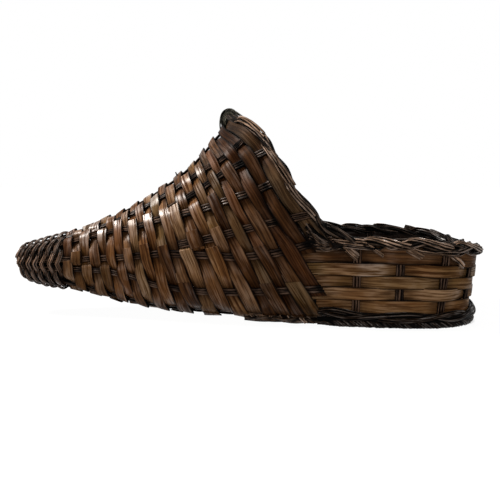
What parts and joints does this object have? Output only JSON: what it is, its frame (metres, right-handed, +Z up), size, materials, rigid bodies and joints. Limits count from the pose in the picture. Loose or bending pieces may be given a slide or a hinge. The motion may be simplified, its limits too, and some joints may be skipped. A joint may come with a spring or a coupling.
{
  "type": "wicker cornucopia basket",
  "caption": "Horn-shaped wicker basket: flat strips woven on cane ribs, a bound tip, and a wide mouth that opens into a low oval tray with a twisted border and a foot rim.",
  "frame": {"origin": "on the floor, under the middle of the basket's box", "axes": "+X from the horn's tip towards the tray's front, +Z up; the near side of the picture is -Y"},
  "size_m": [0.4526, 0.2024, 0.2013],
  "materials": {
    "strip": "brown-stained flat reed strips with a satin sheen",
    "cane": "dark-stained round cane with a satin sheen",
    "border": "dark-stained round cane, twisted",
    "foot": "very dark stained round cane, braided",
    "fine_cane": "dark-stained fine cane, bound in bundles"
  },
  "bodies": {
    "root": {"rib_bottom": "cane", "rib_near_1": "cane", "rib_near_2": "cane", "rib_near_3": "cane", "rib_near_4": "cane", "rib_near_5": "cane", "rib_near_6": "cane", "rib_near_7": "cane", "rib_top": "cane", "rib_far_7": "cane", "rib_far_6": "cane", "rib_far_5": "cane", "rib_far_4": "cane", "rib_far_3": "cane", "rib_far_2": "cane", "rib_far_1": "cane", "horn_strip_01": "strip", "horn_strip_02": "strip", "horn_strip_03": "strip", "horn_strip_04": "strip", "horn_strip_05": "strip", "horn_strip_06": "strip", "horn_strip_07": "strip", "horn_strip_08": "strip", "horn_strip_09": "strip", "horn_strip_10": "strip", "horn_strip_11": "strip", "horn_strip_12": "strip", "horn_strip_13": "strip", "horn_strip_14": "strip", "horn_strip_15": "strip", "horn_strip_16": "strip", "horn_strip_17": "strip", "horn_strip_18": "strip", "horn_strip_19": "strip", "horn_strip_20": "strip", "horn_strip_21": "strip", "horn_strip_22": "strip", "horn_strip_23": "strip", "horn_strip_24": "strip", "wall_strip_1": "strip", "wall_strip_2": "strip", "wall_strip_3": "strip", "wall_strip_4": "strip", "wall_strip_5": "strip", "cross_cane_1": "cane", "cross_cane_2": "cane", "cross_cane_3": "cane", "cross_cane_4": "cane", "floor_strip_1": "strip", "floor_strip_2": "strip", "floor_strip_3": "strip", "floor_strip_4": "strip", "border_strand_1": "border", "border_strand_2": "border", "foot_border_lower": "foot", "foot_border_upper": "foot", "tip_binding_1": "fine_cane", "tip_binding_2": "fine_cane", "peak_loop": "fine_cane"}
  },
  "joints": []
}
